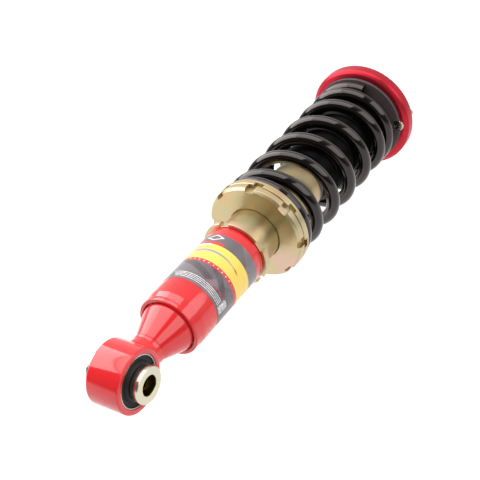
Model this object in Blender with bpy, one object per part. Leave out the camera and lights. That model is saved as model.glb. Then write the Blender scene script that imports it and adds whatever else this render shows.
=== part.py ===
"""A threaded-body coilover, lying along +X.

The origin is the centre of the lower eye's bolt hole. +X runs up the damper to the top mount, +Y runs along
the eye's bolt, and +Z is up. The named sizes are metres.
"""

import math

import bmesh
import bpy
from mathutils import Matrix, Vector

# Clearances, usual edge cuts and facets
GAP = 0.0003
EDGE = 0.0008
SMALL_EDGE = 0.0006
CUT_PAST = 0.0020
FINE = 40
MEDIUM = 28
COARSE = 16

# Lower eye and its bush, round the Y axis
EYE_RADIUS = 0.0268
EYE_BORE = 0.0220
EYE_HALF_WIDTH = 0.0152
EYE_EDGE = 0.0012
SADDLE_TOP_X = 0.0335
SADDLE_FLARE_X = 0.0290
SADDLE_TOP_RADIUS = 0.0146
SADDLE_FOOT_X = 0.0238
SADDLE_FOOT_RADIUS = 0.0150
SHELL_HALF_WIDTH = 0.0146
SHELL_WALL = 0.0008
RUBBER_HALF_WIDTH = 0.0141
RUBBER_LIP_RADIUS = 0.0158
RUBBER_LIP_HALF_WIDTH = 0.0160
SLEEVE_RADIUS = 0.0122
SLEEVE_HALF_WIDTH = 0.0165
BOLT_HOLE_RADIUS = 0.0083
SPACER_END = 0.0247
SPACER_NECK_RADIUS = 0.0138
SPACER_RADIUS = 0.0152
SPACER_STEP = 0.0205

# Damper tube: every threaded piece below shares its outside radius
TUBE_RADIUS = 0.0250
TUBE_WALL = 0.0030
TUBE_EDGE = 0.0010
TUBE_BOTTOM_X = 0.1000
TUBE_TOP_X = 0.2760
THREAD_BORE = TUBE_RADIUS + GAP
TUBE_BORE = TUBE_RADIUS - TUBE_WALL

# Cone and socket that join the eye to the damper tube
CONE_SMALL_RADIUS = 0.0138
CONE_WAIST_X = 0.0415
CONE_WAIST_RADIUS = 0.0166
CONE_LARGE_X = 0.0575
CONE_LARGE_RADIUS = 0.0229
CONE_RIM_X = 0.0615
CONE_RIM_RADIUS = 0.0236
CONE_NECK_RADIUS = 0.0219
CONE_HOLLOW_RADIUS = 0.0136
SPIGOT_X = 0.0650
SPIGOT_TOP_X = 0.0750
SPIGOT_BORE = 0.0166
SOCKET_BOTTOM_X = 0.0603
SOCKET_TOP_X = 0.1626
SOCKET_RADIUS = 0.02834
SOCKET_LIP_RADIUS = 0.0276
SOCKET_LIP_EDGE = 0.0012
SOCKET_LIP_X = 0.0649
SOCKET_TAPER_X = 0.0712

# Label band round the socket
LABEL_BOTTOM_X = 0.0895
LABEL_TOP_X = 0.1515
LABEL_GAP = 0.0001
LABEL_THICKNESS = 0.0002
LABEL_START = math.radians(-40)
LABEL_END = math.radians(205)

# Threaded rings, all with square spanner notches
COLLAR_THICKNESS = 0.0060
COLLAR_RADIUS = 0.0317
COLLAR_NOTCHES = 5
COLLAR_NOTCH_WIDTH = 0.0096
COLLAR_NOTCH_FLOOR = 0.0289
COLLAR_NOTCH_ANGLE = math.radians(149)
RING_RADIUS = 0.0467
LOCK_RING_X = 0.1964
LOCK_RING_THICKNESS = 0.0081
RING_NOTCHES = 8
RING_NOTCH_WIDTH = 0.0086
RING_NOTCH_FLOOR = 0.0428
LOCK_NOTCH_ANGLE = 0.0
PERCH_X = LOCK_RING_X + LOCK_RING_THICKNESS + GAP
PERCH_FLANGE_TOP_X = 0.2120
PERCH_NOTCH_DEPTH_X = 0.0038
PERCH_NOTCH_ANGLE = math.radians(6)
PERCH_COLLAR_RADIUS = 0.0328
PERCH_COLLAR_TOP_X = 0.2335
PERCH_COLLAR_EDGE = 0.0015
PERCH_MOUTH_RADIUS = 0.0293
PERCH_MOUTH_FLOOR_RADIUS = 0.0283
PERCH_MOUTH_X = 0.2275
PERCH_THREAD_TOP_X = 0.2245

# Coil spring: turns are counted from the lower wire end
WIRE_RADIUS = 0.0061
COIL_RADIUS = 0.0394
SPRING_PITCH = 0.03314
LOWER_END_PITCH = 0.0040
UPPER_END_PITCH = 0.0126
SPRING_START_X = 0.21595
SPRING_START_ANGLE = math.radians(60)
SPRING_SECTIONS = (
    (0.472, LOWER_END_PITCH, LOWER_END_PITCH),
    (0.490, LOWER_END_PITCH, SPRING_PITCH),
    (4.163, SPRING_PITCH, SPRING_PITCH),
    (1.0, SPRING_PITCH, UPPER_END_PITCH),
    (1.0, UPPER_END_PITCH, UPPER_END_PITCH),
)
STEPS_PER_TURN = 20
WIRE_SIDES = 8
SEAT_PLANE_X = 0.4056

# Pieces inside the damper tube. The piston rests just under the rod guide, at the end of its rebound stroke
PLUG_X = 0.1005
PLUG_THICKNESS = 0.0100
FLOATING_PISTON_X = 0.1320
FLOATING_PISTON_LENGTH = 0.0120
FLOATING_LAND = 0.0042
FLOATING_GROOVE_DEPTH = 0.0028
FLOATING_WEB = 0.0040
FLOATING_CUP_RADIUS = 0.0150
FLOATING_CUP_FLOOR_RADIUS = 0.0130
SEAL_CORD_RADIUS = 0.0012
SEAL_CORD_SIDES = 8
SEAL_RADIUS = TUBE_BORE - GAP
ROD_RADIUS = 0.0060
ROD_BORE = ROD_RADIUS + GAP
ROD_SPIGOT_RADIUS = 0.0048
ROD_SPIGOT_BORE = ROD_SPIGOT_RADIUS + GAP
ROD_BOTTOM_X = 0.2260
ROD_SHOULDER_X = 0.2498
ROD_TOP_X = 0.4380
PISTON_X = 0.2350
PISTON_LENGTH = 0.0120
PISTON_RADIUS = 0.0206
PISTON_LAND = 0.0018
PISTON_GROOVE_RADIUS = 0.0194
SHIM_THICKNESS = 0.0006
SHIM_RADII = (0.0160, 0.0130, 0.0100)
SHIM_STACK = SHIM_THICKNESS * len(SHIM_RADII)
PISTON_NUT_LENGTH = 0.0052
PISTON_NUT_FLATS = 0.0170
GUIDE_X = 0.2500
GUIDE_LENGTH = 0.0160
SEAL_LENGTH = 0.0040
CAP_RADIUS = 0.0243
CAP_TOP_X = 0.2830
CAP_EDGE = 0.0018

# Bump stop, dust boot and upper spring seat
BUMP_BOTTOM_X = 0.3560
BUMP_TOP_X = 0.4045
BUMP_RADIUS = 0.0165
BUMP_WAIST = 0.0125
BUMP_BULGES = 3
BUMP_ROWS = 9
BOOT_BOTTOM_X = CAP_TOP_X + GAP
BOOT_FIRST_CREST_X = 0.3010
BOOT_PLEAT_LENGTH = 0.01525
BOOT_PLEATS = 6
BOOT_PLEATED_TOP_X = 0.3880
BOOT_OUTER = 0.0310
BOOT_INNER = 0.0245
BOOT_SLEEVE = 0.0225
BOOT_WALL = 0.0012
SEAT_FLANGE_RADIUS = 0.0460
SEAT_TOP_X = 0.4087
SEAT_HUB_RADIUS = 0.0328
SEAT_HUB_BOTTOM_X = 0.3920
SEAT_HUB_EDGE = 0.0015
SEAT_HUB_BORE = 0.0256
SEAT_FLOOR_X = 0.4048
SEAT_FLOOR_BORE = 0.0120

# Top plate, its spherical bearing and its studs
PLATE_BOTTOM_X = SEAT_TOP_X + GAP
PLATE_RIM_X = 0.4120
PLATE_TOP_X = 0.4230
PLATE_TOP_EDGE = 0.0015
PLATE_RADIUS = 0.0532
PLATE_EDGE = 0.0036
PLATE_BORE = 0.0170
LEDGE_BORE = 0.0130
RACE_BOTTOM_X = 0.4115
RACE_TOP_X = 0.4210
BALL_RADIUS = 0.0110
BALL_CENTRE_X = 0.5 * (RACE_BOTTOM_X + RACE_TOP_X)
BALL_HALF_LENGTH = 0.0070
BALL_ROWS = 8
CIRCLIP_THICKNESS = 0.0013
CIRCLIP_BORE = 0.0145
ROD_SPACER_RADIUS = 0.0092
WASHER_THICKNESS = 0.0020
WASHER_RADIUS = 0.0110
ROD_NUT_FLATS = 0.0190
ROD_NUT_LENGTH = 0.0085
KNOB_RADIUS = 0.0072
KNOB_LENGTH = 0.0110
KNOB_TOP_EDGE = 0.0010
KNOB_GRIPS = 12
KNOB_GRIP_WIDTH = 0.0012
STUD_CIRCLE = 0.0440
STUD_ANGLE = math.radians(178)
STUD_COUNT = 2
STUD_RADIUS = 0.0039
STUD_TIP_X = 0.4360
STUD_HEAD_RADIUS = 0.0055
STUD_HEAD_HEIGHT = 0.0024
STUD_POCKET_RADIUS = 0.0059

SMOOTH_ANGLE = math.radians(35)
WELD = 1e-7
X_AXIS = Vector((1, 0, 0))
Y_AXIS = Vector((0, 1, 0))


def clear_scene():
    for found in list(bpy.data.objects):
        bpy.data.objects.remove(found, do_unlink=True)


def make_material(name, color, roughness, metallic):
    material = bpy.data.materials.new(name)
    material.use_nodes = True
    shader = material.node_tree.nodes["Principled BSDF"]
    shader.inputs["Base Color"].default_value = (*color, 1.0)
    shader.inputs["Roughness"].default_value = roughness
    shader.inputs["Metallic"].default_value = metallic
    return material


def make_mesh(name, shape):
    """A closed mesh with its faces pointing out, from a bmesh that isn't needed again."""
    bmesh.ops.remove_doubles(shape, verts=shape.verts, dist=WELD)
    bmesh.ops.recalc_face_normals(shape, faces=shape.faces)
    mesh = bpy.data.meshes.new(name)
    shape.to_mesh(mesh)
    shape.free()
    return mesh


def make_object(name, shape, material):
    """A piece of the coilover, with its round sides smooth and its edges sharp."""
    mesh = make_mesh(name, shape)
    mesh.materials.append(material)
    mesh.shade_smooth()
    mesh.set_sharp_from_angle(angle=SMOOTH_ANGLE)
    made = bpy.data.objects.new(name, mesh)
    bpy.context.collection.objects.link(made)
    return made


def combine(target, name, shape, operation):
    """Cuts a helper solid from the target, or joins it on. The helper itself isn't rendered."""
    helper = bpy.data.objects.new(name, make_mesh(name, shape))
    bpy.context.collection.objects.link(helper)
    helper.hide_render = True
    helper.display_type = "WIRE"
    helper.hide_set(True)
    modifier = target.modifiers.new(name, "BOOLEAN")
    modifier.operation = operation
    modifier.object = helper
    modifier.solver = "EXACT"


def point_on(axis, along, radius):
    """A point in the half plane that every turned outline is drawn in."""
    if axis is Y_AXIS:
        return Vector((radius, along, 0))
    return Vector((along, radius, 0))


def turned_shape(outline, axis=X_AXIS, segments=MEDIUM):
    """Turns an outline of (along, radius) points once round the axis."""
    shape = bmesh.new()
    points = [shape.verts.new(point_on(axis, *place)) for place in outline]
    edges = [shape.edges.new(pair) for pair in zip(points, points[1:])]
    on_axis = outline[0][1] == 0.0 and outline[-1][1] == 0.0
    if not on_axis:
        edges.append(shape.edges.new((points[-1], points[0])))
    bmesh.ops.spin(
        shape,
        geom=points + edges,
        cent=(0, 0, 0),
        axis=axis,
        angle=2 * math.pi,
        steps=segments,
        use_merge=True,
    )
    return shape


def turned(name, outline, material, axis=X_AXIS, segments=MEDIUM):
    return make_object(name, turned_shape(outline, axis, segments), material)


def cylinder_shape(low, high, radius, axis=X_AXIS, segments=COARSE):
    return turned_shape([(low, 0), (low, radius), (high, radius), (high, 0)], axis, segments)


def ring_outline(low, high, inner, outer, edge=0.0):
    """A plain ring's outline, with its two outer corners cut by the edge size."""
    if edge == 0.0:
        return [(low, inner), (low, outer), (high, outer), (high, inner)]
    return [
        (low, inner),
        (low, outer - edge),
        (low + edge, outer),
        (high - edge, outer),
        (high, outer - edge),
        (high, inner),
    ]


def prism_shape(low, high, outline):
    """A prism along X from (y, z) corner points."""
    shape = bmesh.new()
    face = shape.faces.new([shape.verts.new((low, y, z)) for y, z in outline])
    made = bmesh.ops.extrude_face_region(shape, geom=[face])
    top = [item for item in made["geom"] if isinstance(item, bmesh.types.BMVert)]
    bmesh.ops.translate(shape, verts=top, vec=(high - low, 0, 0))
    return shape


def copies(shape, moves):
    """One bmesh that holds the shape once for every move."""
    result = bmesh.new()
    for move in moves:
        copy = shape.copy()
        bmesh.ops.transform(copy, matrix=move, verts=copy.verts)
        scratch = bpy.data.meshes.new("scratch")
        copy.to_mesh(scratch)
        copy.free()
        result.from_mesh(scratch)
        bpy.data.meshes.remove(scratch)
    shape.free()
    return result


def cut_notches(target, count, phase, width, floor, reach, low, high):
    """Square notches in a ring's rim, evenly round the X axis."""
    half = width / 2
    past = reach + CUT_PAST
    block = prism_shape(low, high, [(floor, -half), (past, -half), (past, half), (floor, half)])
    moves = [Matrix.Rotation(phase + 2 * math.pi * number / count, 4, "X") for number in range(count)]
    combine(target, target.name + "_notches", copies(block, moves), "DIFFERENCE")


def hex_nut(name, low, length, flats, bore, material):
    """A hexagonal nut of a given width across its flats, with a round bore."""
    corner = flats / 2 / math.cos(math.pi / 6)
    angles = [math.pi * number / 3 for number in range(6)]
    outline = [(corner * math.cos(angle), corner * math.sin(angle)) for angle in angles]
    nut = make_object(name, prism_shape(low, low + length, outline), material)
    hole = cylinder_shape(low - CUT_PAST, low + length + CUT_PAST, bore)
    combine(nut, name + "_bore", hole, "DIFFERENCE")
    return nut


def add_empty(name, along, parent=None):
    """A marker on the X axis at the place where a group of pieces moves from."""
    empty = bpy.data.objects.new(name, None)
    empty.location = (along, 0, 0)
    empty.empty_display_size = 0.02
    bpy.context.collection.objects.link(empty)
    if parent:
        attach(empty, parent)
    return empty


def attach(child, parent):
    """Parents without moving: a child keeps its place in the world."""
    bpy.context.view_layer.update()
    child.parent = parent
    child.matrix_parent_inverse = parent.matrix_world.inverted()


# ---------------------------------------------------------------- lower eye and bush


def make_eye_housing(paint):
    """The eye's ring, with a round saddle joined on that the cone stands on."""
    half = EYE_HALF_WIDTH
    outline = ring_outline(-half, half, EYE_BORE, EYE_RADIUS, EYE_EDGE)
    eye = turned("eye_housing", outline, paint, Y_AXIS, FINE)
    saddle_outline = [
        (EYE_BORE, 0),
        (EYE_BORE, SADDLE_FOOT_RADIUS),
        (SADDLE_FOOT_X, SADDLE_FOOT_RADIUS),
        (SADDLE_FLARE_X, SADDLE_TOP_RADIUS),
        (SADDLE_TOP_X, SADDLE_TOP_RADIUS),
        (SADDLE_TOP_X, 0),
    ]
    combine(eye, "saddle_helper", turned_shape(saddle_outline), "UNION")
    reach = half + CUT_PAST
    combine(eye, "eye_bore_helper", cylinder_shape(-reach, reach, EYE_BORE, Y_AXIS, FINE), "DIFFERENCE")
    return eye


def make_bush(steel, rubber):
    shell_radius = EYE_BORE - GAP
    shell_bore = shell_radius - SHELL_WALL
    half = SHELL_HALF_WIDTH
    outline = ring_outline(-half, half, shell_bore, shell_radius)
    shell = turned("bush_outer_shell", outline, steel, Y_AXIS, FINE)
    low = SLEEVE_RADIUS + GAP
    lip = RUBBER_LIP_HALF_WIDTH
    body = RUBBER_HALF_WIDTH
    outline = [
        (-lip, low),
        (-lip, RUBBER_LIP_RADIUS - EDGE),
        (-body, RUBBER_LIP_RADIUS),
        (-body, shell_bore - GAP),
        (body, shell_bore - GAP),
        (body, RUBBER_LIP_RADIUS),
        (lip, RUBBER_LIP_RADIUS - EDGE),
        (lip, low),
    ]
    block = turned("bush_rubber", outline, rubber, Y_AXIS)
    return shell, block


def make_sleeve(zinc):
    """The bush's inner sleeve, and the two stepped spacers that stand on its ends."""
    half = SLEEVE_HALF_WIDTH
    pieces = [turned("eye_sleeve", ring_outline(-half, half, BOLT_HOLE_RADIUS, SLEEVE_RADIUS), zinc, Y_AXIS)]
    start = half + GAP
    for name, side in (("eye_spacer_left", -1), ("eye_spacer_right", 1)):
        outline = [
            (side * start, BOLT_HOLE_RADIUS),
            (side * start, SPACER_NECK_RADIUS),
            (side * SPACER_STEP, SPACER_NECK_RADIUS),
            (side * (SPACER_STEP + EDGE), SPACER_RADIUS),
            (side * (SPACER_END - EDGE), SPACER_RADIUS),
            (side * SPACER_END, SPACER_RADIUS - EDGE),
            (side * SPACER_END, BOLT_HOLE_RADIUS + SMALL_EDGE),
            (side * (SPACER_END - SMALL_EDGE), BOLT_HOLE_RADIUS),
        ]
        pieces.append(turned(name, outline, zinc, Y_AXIS))
    return pieces


# ---------------------------------------------------------------- cone, socket and label


def make_cone(paint):
    outline = [
        (SADDLE_TOP_X + GAP, 0),
        (SADDLE_TOP_X + GAP, CONE_SMALL_RADIUS),
        (CONE_WAIST_X, CONE_WAIST_RADIUS),
        (CONE_LARGE_X, CONE_LARGE_RADIUS),
        (CONE_RIM_X, CONE_RIM_RADIUS),
        (CONE_RIM_X, CONE_NECK_RADIUS),
        (SPIGOT_X, CONE_NECK_RADIUS),
        (SPIGOT_X, TUBE_RADIUS),
        (SPIGOT_TOP_X, TUBE_RADIUS),
        (SPIGOT_TOP_X, SPIGOT_BORE),
        (CONE_LARGE_X, CONE_HOLLOW_RADIUS),
        (CONE_LARGE_X, 0),
    ]
    return turned("mount_cone", outline, paint, X_AXIS, FINE)


def make_socket(paint):
    outline = [
        (SOCKET_BOTTOM_X, THREAD_BORE),
        (SOCKET_BOTTOM_X, SOCKET_LIP_RADIUS - SOCKET_LIP_EDGE),
        (SOCKET_BOTTOM_X + SOCKET_LIP_EDGE, SOCKET_LIP_RADIUS),
        (SOCKET_LIP_X, SOCKET_LIP_RADIUS),
        (SOCKET_TAPER_X, SOCKET_RADIUS),
        (SOCKET_TOP_X - EDGE, SOCKET_RADIUS),
        (SOCKET_TOP_X, SOCKET_RADIUS - EDGE),
        (SOCKET_TOP_X, THREAD_BORE),
    ]
    return turned("socket_body", outline, paint, X_AXIS, FINE)


def make_label(vinyl):
    """A thin band that runs part of the way round the socket."""
    low = SOCKET_RADIUS + LABEL_GAP
    high = low + LABEL_THICKNESS
    steps = round(FINE * (LABEL_END - LABEL_START) / (2 * math.pi))
    shape = bmesh.new()
    rings = []
    for step in range(steps + 1):
        angle = LABEL_START + (LABEL_END - LABEL_START) * step / steps
        outward = Vector((0, math.cos(angle), math.sin(angle)))
        corners = ring_outline(LABEL_BOTTOM_X, LABEL_TOP_X, low, high)
        rings.append([shape.verts.new(X_AXIS * along + outward * radius) for along, radius in corners])
    bridge(shape, rings)
    return make_object("label_wrap", shape, vinyl)


def bridge(shape, rings):
    """Faces between each ring of points and the next, with the first and last ring filled."""
    for near, far in zip(rings, rings[1:]):
        for side in range(len(near)):
            after = (side + 1) % len(near)
            shape.faces.new((near[side], near[after], far[after], far[side]))
    shape.faces.new(rings[0])
    shape.faces.new(rings[-1])


# ---------------------------------------------------------------- threaded rings


def make_collar(plating):
    low = SOCKET_TOP_X + GAP
    high = low + COLLAR_THICKNESS
    outline = ring_outline(low, high, THREAD_BORE, COLLAR_RADIUS, SMALL_EDGE)
    collar = turned("body_lock_collar", outline, plating, X_AXIS, FINE)
    cut_notches(
        collar,
        COLLAR_NOTCHES,
        COLLAR_NOTCH_ANGLE,
        COLLAR_NOTCH_WIDTH,
        COLLAR_NOTCH_FLOOR,
        COLLAR_RADIUS,
        low - CUT_PAST,
        high + CUT_PAST,
    )
    return collar


def make_lock_ring(plating):
    low = LOCK_RING_X
    high = low + LOCK_RING_THICKNESS
    outline = ring_outline(low, high, THREAD_BORE, RING_RADIUS, EDGE)
    ring = turned("perch_lock_ring", outline, plating, X_AXIS, FINE)
    cut_notches(
        ring,
        RING_NOTCHES,
        LOCK_NOTCH_ANGLE,
        RING_NOTCH_WIDTH,
        RING_NOTCH_FLOOR,
        RING_RADIUS,
        low - CUT_PAST,
        high + CUT_PAST,
    )
    return ring


def make_perch(plating):
    """The flange that the spring stands on, with a collar that centres the spring."""
    outline = [
        (PERCH_X, THREAD_BORE),
        (PERCH_X, RING_RADIUS),
        (PERCH_FLANGE_TOP_X - EDGE, RING_RADIUS),
        (PERCH_FLANGE_TOP_X, RING_RADIUS - EDGE),
        (PERCH_FLANGE_TOP_X, PERCH_COLLAR_RADIUS),
        (PERCH_COLLAR_TOP_X - PERCH_COLLAR_EDGE, PERCH_COLLAR_RADIUS),
        (PERCH_COLLAR_TOP_X, PERCH_COLLAR_RADIUS - PERCH_COLLAR_EDGE),
        (PERCH_COLLAR_TOP_X, PERCH_MOUTH_RADIUS),
        (PERCH_MOUTH_X, PERCH_MOUTH_FLOOR_RADIUS),
        (PERCH_THREAD_TOP_X, THREAD_BORE),
    ]
    perch = turned("spring_perch", outline, plating, X_AXIS, FINE)
    cut_notches(
        perch,
        RING_NOTCHES,
        PERCH_NOTCH_ANGLE,
        RING_NOTCH_WIDTH,
        RING_NOTCH_FLOOR,
        RING_RADIUS,
        PERCH_X - CUT_PAST,
        PERCH_X + PERCH_NOTCH_DEPTH_X,
    )
    return perch


# ---------------------------------------------------------------- coil spring


def wire_centre_x(turns):
    """The X of the wire's centre after a number of turns from its lower end."""
    place = SPRING_START_X
    for length, first, last in SPRING_SECTIONS:
        part = min(max(turns, 0.0), length)
        slope = (last - first) / length
        place += first * part + slope * part * part / 2
        turns -= part
    return place


def make_spring(enamel):
    """A closed coil spring of round wire, with both ends ground flat."""
    total = sum(section[0] for section in SPRING_SECTIONS)
    steps = round(total * STEPS_PER_TURN)
    floor = PERCH_FLANGE_TOP_X + GAP
    ceiling = SEAT_PLANE_X - GAP
    shape = bmesh.new()
    rings = []
    for step in range(steps + 1):
        turns = total * step / steps
        angle = SPRING_START_ANGLE + 2 * math.pi * turns
        outward = Vector((0, math.cos(angle), math.sin(angle)))
        centre = X_AXIS * wire_centre_x(turns) + outward * COIL_RADIUS
        ring = []
        for side in range(WIRE_SIDES):
            around = 2 * math.pi * (side + 0.5) / WIRE_SIDES
            place = centre + WIRE_RADIUS * (math.cos(around) * outward + math.sin(around) * X_AXIS)
            place.x = min(max(place.x, floor), ceiling)
            ring.append(shape.verts.new(place))
        rings.append(ring)
    bridge(shape, rings)
    return make_object("coil_spring", shape, enamel)


# ---------------------------------------------------------------- inside the damper


def make_tube(plating):
    outline = ring_outline(TUBE_BOTTOM_X, TUBE_TOP_X, TUBE_BORE, TUBE_RADIUS, TUBE_EDGE)
    return turned("damper_tube", outline, plating, X_AXIS, FINE)


def make_tube_ends(aluminium, rubber, black):
    """The plug at the tube's bottom, then the guide, seal and cap that the rod runs through."""
    plug_shape = cylinder_shape(PLUG_X, PLUG_X + PLUG_THICKNESS, SEAL_RADIUS)
    plug = make_object("tube_base_plug", plug_shape, aluminium)
    low = GUIDE_X
    high = low + GUIDE_LENGTH
    guide = turned("rod_guide", ring_outline(low, high, ROD_BORE, SEAL_RADIUS), aluminium, X_AXIS, COARSE)
    low = high + GAP
    high = low + SEAL_LENGTH
    seal = turned("rod_seal", ring_outline(low, high, ROD_BORE, SEAL_RADIUS), rubber, X_AXIS, COARSE)
    outline = [
        (high + GAP, ROD_BORE),
        (high + GAP, SEAL_RADIUS),
        (TUBE_TOP_X + GAP, SEAL_RADIUS),
        (TUBE_TOP_X + GAP, CAP_RADIUS),
        (CAP_TOP_X - CAP_EDGE, CAP_RADIUS),
        (CAP_TOP_X, CAP_RADIUS - CAP_EDGE),
        (CAP_TOP_X, ROD_BORE),
    ]
    cap = turned("gland_cap", outline, black)
    return plug, guide, seal, cap


def make_floating_piston(aluminium, rubber):
    """The cupped piston between the oil and the gas, with its seal ring in a groove."""
    low = FLOATING_PISTON_X
    high = low + FLOATING_PISTON_LENGTH
    groove = SEAL_RADIUS - FLOATING_GROOVE_DEPTH
    outline = [
        (low, 0),
        (low, SEAL_RADIUS),
        (low + FLOATING_LAND, SEAL_RADIUS),
        (low + FLOATING_LAND, groove),
        (high - FLOATING_LAND, groove),
        (high - FLOATING_LAND, SEAL_RADIUS),
        (high, SEAL_RADIUS),
        (high, FLOATING_CUP_RADIUS),
        (low + FLOATING_WEB, FLOATING_CUP_FLOOR_RADIUS),
        (low + FLOATING_WEB, 0),
    ]
    piston = turned("floating_piston", outline, aluminium, X_AXIS, COARSE)
    middle_x = (low + high) / 2
    middle_radius = groove + GAP + SEAL_CORD_RADIUS
    circle = []
    for side in range(SEAL_CORD_SIDES):
        around = 2 * math.pi * side / SEAL_CORD_SIDES
        along = middle_x + SEAL_CORD_RADIUS * math.sin(around)
        circle.append((along, middle_radius + SEAL_CORD_RADIUS * math.cos(around)))
    ring = turned("floating_piston_ring", circle, rubber, X_AXIS, COARSE)
    return piston, ring


def shim_stack(name, start, direction, steel):
    """Thin valve discs, the widest against the piston."""
    outline = [(start, ROD_SPIGOT_BORE)]
    for number, radius in enumerate(SHIM_RADII):
        outline.append((start + direction * number * SHIM_THICKNESS, radius))
        outline.append((start + direction * (number + 1) * SHIM_THICKNESS, radius))
    outline.append((start + direction * SHIM_STACK, ROD_SPIGOT_BORE))
    return turned(name, outline, steel, X_AXIS, COARSE)


def make_rod(chrome):
    outline = [
        (ROD_BOTTOM_X, 0),
        (ROD_BOTTOM_X, ROD_SPIGOT_RADIUS),
        (ROD_SHOULDER_X, ROD_SPIGOT_RADIUS),
        (ROD_SHOULDER_X, ROD_RADIUS),
        (ROD_TOP_X - EDGE, ROD_RADIUS),
        (ROD_TOP_X, ROD_RADIUS - EDGE),
        (ROD_TOP_X, 0),
    ]
    return turned("piston_rod", outline, chrome, X_AXIS, COARSE)


def make_piston(aluminium, steel, black):
    """The piston on the rod's spigot, with its band, a shim stack on each side and the nut that clamps them."""
    low = PISTON_X
    high = low + PISTON_LENGTH
    outline = [
        (low, ROD_SPIGOT_BORE),
        (low, PISTON_RADIUS),
        (low + PISTON_LAND, PISTON_RADIUS),
        (low + PISTON_LAND, PISTON_GROOVE_RADIUS),
        (high - PISTON_LAND, PISTON_GROOVE_RADIUS),
        (high - PISTON_LAND, PISTON_RADIUS),
        (high, PISTON_RADIUS),
        (high, ROD_SPIGOT_BORE),
    ]
    piston = turned("piston", outline, aluminium, X_AXIS, COARSE)
    band_low = low + PISTON_LAND + GAP
    band_high = high - PISTON_LAND - GAP
    band_outline = ring_outline(band_low, band_high, PISTON_GROOVE_RADIUS + GAP, SEAL_RADIUS)
    band = turned("piston_band", band_outline, black, X_AXIS, COARSE)
    rebound = shim_stack("rebound_shims", low - GAP, -1, steel)
    compression = shim_stack("compression_shims", high + GAP, 1, steel)
    nut_low = low - GAP - SHIM_STACK - GAP - PISTON_NUT_LENGTH
    nut = hex_nut("piston_nut", nut_low, PISTON_NUT_LENGTH, PISTON_NUT_FLATS, ROD_SPIGOT_BORE, steel)
    return piston, band, rebound, compression, nut


# ---------------------------------------------------------------- bump stop, boot and seat


def make_bump_stop(foam):
    """Three bulges with a waist between each pair."""
    length = BUMP_TOP_X - BUMP_BOTTOM_X
    middle = (BUMP_RADIUS + BUMP_WAIST) / 2
    swing = (BUMP_RADIUS - BUMP_WAIST) / 2
    outline = [(BUMP_BOTTOM_X, ROD_BORE)]
    for row in range(BUMP_ROWS + 1):
        share = row / BUMP_ROWS
        radius = middle - swing * math.cos(2 * math.pi * BUMP_BULGES * share)
        outline.append((BUMP_BOTTOM_X + length * share, radius))
    outline.append((BUMP_TOP_X, ROD_BORE))
    return turned("bump_stop", outline, foam, X_AXIS, COARSE)


def make_boot(rubber):
    """A thin pleated bellows: its outside runs up the pleats and its inside comes back down them."""
    outside = [(BOOT_BOTTOM_X, BOOT_INNER)]
    for pleat in range(BOOT_PLEATS):
        crest = BOOT_FIRST_CREST_X + BOOT_PLEAT_LENGTH * pleat
        outside.append((crest - BOOT_PLEAT_LENGTH / 2, BOOT_INNER))
        outside.append((crest, BOOT_OUTER))
    outside.append((crest + BOOT_PLEAT_LENGTH / 2, BOOT_INNER))
    outside.append((BOOT_PLEATED_TOP_X, BOOT_SLEEVE))
    outside.append((SEAT_FLOOR_X - GAP, BOOT_SLEEVE))
    inside = [(along, radius - BOOT_WALL) for along, radius in reversed(outside)]
    return turned("dust_boot", outside + inside, rubber, X_AXIS, COARSE)


def make_upper_seat(black):
    outline = [
        (SEAT_HUB_BOTTOM_X, SEAT_HUB_BORE),
        (SEAT_HUB_BOTTOM_X, SEAT_HUB_RADIUS - SEAT_HUB_EDGE),
        (SEAT_HUB_BOTTOM_X + SEAT_HUB_EDGE, SEAT_HUB_RADIUS),
        (SEAT_PLANE_X, SEAT_HUB_RADIUS),
        (SEAT_PLANE_X, SEAT_FLANGE_RADIUS - SMALL_EDGE),
        (SEAT_PLANE_X + SMALL_EDGE, SEAT_FLANGE_RADIUS),
        (SEAT_TOP_X, SEAT_FLANGE_RADIUS),
        (SEAT_TOP_X, SEAT_FLOOR_BORE),
        (SEAT_FLOOR_X, SEAT_FLOOR_BORE),
        (SEAT_FLOOR_X, SEAT_HUB_BORE),
    ]
    seat = turned("upper_spring_seat", outline, black, X_AXIS, FINE)
    pocket = cylinder_shape(SEAT_PLANE_X - CUT_PAST, SEAT_TOP_X + CUT_PAST, STUD_POCKET_RADIUS)
    combine(seat, "seat_stud_pockets", copies(pocket, stud_moves()), "DIFFERENCE")
    return seat


# ---------------------------------------------------------------- top plate


def stud_moves():
    """The moves from the X axis to each stud's place."""
    angles = [STUD_ANGLE + 2 * math.pi * number / STUD_COUNT for number in range(STUD_COUNT)]
    places = [(0, STUD_CIRCLE * math.cos(angle), STUD_CIRCLE * math.sin(angle)) for angle in angles]
    return [Matrix.Translation(place) for place in places]


def make_top_plate(anodised):
    """The round plate, with the bearing's bore and ledge in its middle."""
    ledge_x = RACE_BOTTOM_X - GAP
    outline = [
        (PLATE_BOTTOM_X, LEDGE_BORE),
        (PLATE_BOTTOM_X, PLATE_RADIUS - PLATE_EDGE),
        (PLATE_RIM_X, PLATE_RADIUS),
        (PLATE_TOP_X - PLATE_TOP_EDGE, PLATE_RADIUS),
        (PLATE_TOP_X, PLATE_RADIUS - PLATE_TOP_EDGE),
        (PLATE_TOP_X, PLATE_BORE),
        (ledge_x, PLATE_BORE),
        (ledge_x, LEDGE_BORE),
    ]
    plate = turned("top_plate", outline, anodised, X_AXIS, FINE)
    hole = cylinder_shape(PLATE_BOTTOM_X - CUT_PAST, PLATE_TOP_X + CUT_PAST, STUD_RADIUS + GAP)
    combine(plate, "plate_stud_holes", copies(hole, stud_moves()), "DIFFERENCE")
    return plate


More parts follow.
